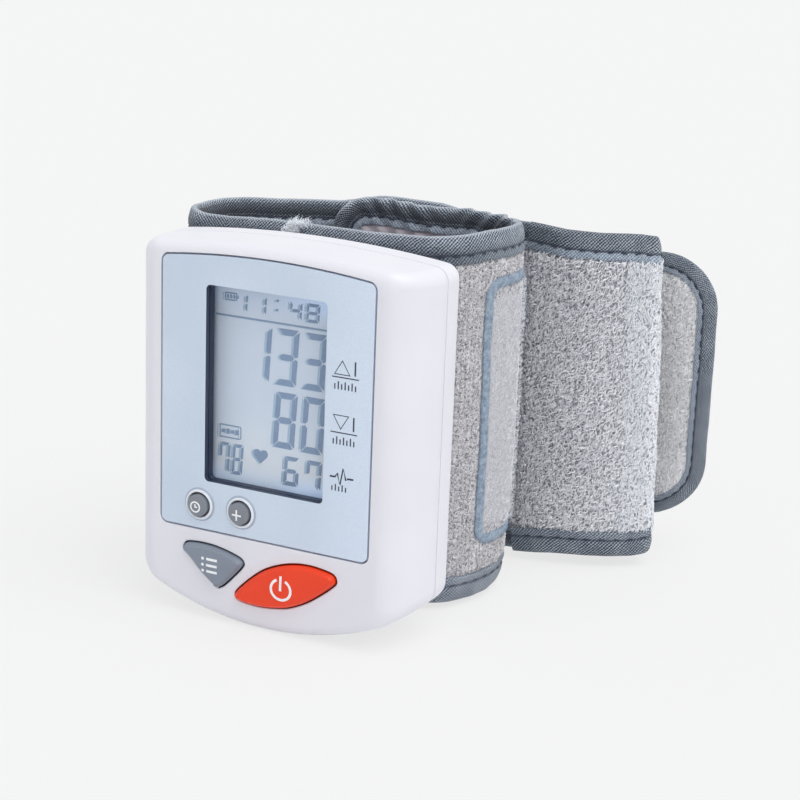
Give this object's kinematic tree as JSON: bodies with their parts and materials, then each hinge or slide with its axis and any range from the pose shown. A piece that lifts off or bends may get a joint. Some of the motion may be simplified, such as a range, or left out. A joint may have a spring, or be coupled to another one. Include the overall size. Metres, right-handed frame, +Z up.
{
  "type": "wrist blood pressure monitor",
  "caption": "Wrist blood pressure monitor: upright display unit with keys, on a soft fabric cuff looped behind it, its loose strap folded back.",
  "frame": {"origin": "middle of the part's footprint box, on the surface it stands on", "axes": "+X across the display to the reader's right, +Y from the display back through the cuff, +Z up"},
  "size_m": [0.0958, 0.0882, 0.0758],
  "materials": {
    "cover_white": "satin moulded ABS with a faint lavender cast",
    "faceplate_blue": "silver-blue paint, satin",
    "bezel_dark": "matt moulded",
    "lens_clear": "clear acrylic window",
    "lcd_glass": "reflective liquid crystal panel",
    "key_grey": "silver-grey satin",
    "memory_grey": "slate grey satin",
    "power_orange": "orange-red satin",
    "rubber_grey": "matt",
    "board_green": "solder resist on glass-fibre board",
    "electronics_dark": "moulded parts inside the case",
    "steel": "plated",
    "cell_jacket": "plain printed jacket",
    "pile_grey": "light grey loop pile",
    "binding_slate": "slate-blue twill tape",
    "lining_pink": "smooth pale lining",
    "tube_clear": "translucent silicone"
  },
  "bodies": {
    "housing": {"front_cover": "cover_white", "rear_cover": "cover_white", "cover_screw_1": "steel", "cover_screw_2": "steel", "cover_screw_3": "steel", "cover_screw_4": "steel", "faceplate": "faceplate_blue", "lcd_bezel": "bezel_dark", "display_lens": "lens_clear", "lcd_panel": "lcd_glass", "lcd_holder": "bezel_dark", "connector_strip_top": "rubber_grey", "connector_strip_bottom": "rubber_grey", "circuit_board": "board_green", "clock_switch": "electronics_dark", "plus_switch": "electronics_dark", "memory_switch": "electronics_dark", "power_switch": "electronics_dark", "battery_1": "cell_jacket", "battery_2": "cell_jacket", "battery_bridge": "steel", "battery_contact_plus": "steel", "battery_contact_minus": "steel", "pump_motor": "steel", "pump_head": "electronics_dark", "air_manifold": "electronics_dark", "release_valve": "steel", "pressure_sensor": "electronics_dark", "processor_chip": "electronics_dark", "buzzer": "electronics_dark", "air_tube": "tube_clear", "air_port": "electronics_dark", "cuff_mount_plate": "electronics_dark", "cuff_panel": "pile_grey", "cuff_binding": "binding_slate", "cuff_stiffener": "cover_white", "air_bladder": "rubber_grey", "cuff_lining": "lining_pink", "pile_patch": "pile_grey"},
    "clock_key": {"clock_button": "key_grey"},
    "plus_key": {"plus_button": "key_grey"},
    "memory_key": {"memory_button": "memory_grey"},
    "power_key": {"power_button": "power_orange"},
    "door": {"battery_door": "cover_white"},
    "strap": {"strap_panel": "pile_grey", "strap_binding_top": "binding_slate", "strap_binding_bottom": "binding_slate", "strap_fold": "pile_grey"},
    "flap": {"tab_panel": "pile_grey", "tab_binding": "binding_slate"}
  },
  "joints": [
    {"name": "clock_press", "type": "slide", "parent": "housing", "child": "clock_key", "axis": [0, 1, 0], "range_m": [0, 0.0008], "stiffness_N_per_m": 800},
    {"name": "plus_press", "type": "slide", "parent": "housing", "child": "plus_key", "axis": [0, 1, 0], "range_m": [0, 0.0008], "stiffness_N_per_m": 800},
    {"name": "memory_press", "type": "slide", "parent": "housing", "child": "memory_key", "axis": [0, 1, 0], "range_m": [0, 0.0008], "stiffness_N_per_m": 800},
    {"name": "power_press", "type": "slide", "parent": "housing", "child": "power_key", "axis": [0, 1, 0], "range_m": [0, 0.0008], "stiffness_N_per_m": 800},
    {"name": "battery_door_off", "type": "slide", "parent": "housing", "child": "door", "axis": [-1, 0, 0], "range_m": [0, 0.022]},
    {"name": "strap_open", "type": "hinge", "parent": "housing", "child": "strap", "pos_m": [-0.04204, 0.00012, 0.0379], "axis": [0, 0, 1], "range_deg": [0, 60]},
    {"name": "tab_unfold", "type": "hinge", "parent": "strap", "child": "flap", "pos_m": [0.03567, 0.03256, 0.0379], "axis": [0, 0, -1], "range_deg": [0, 130]}
  ]
}
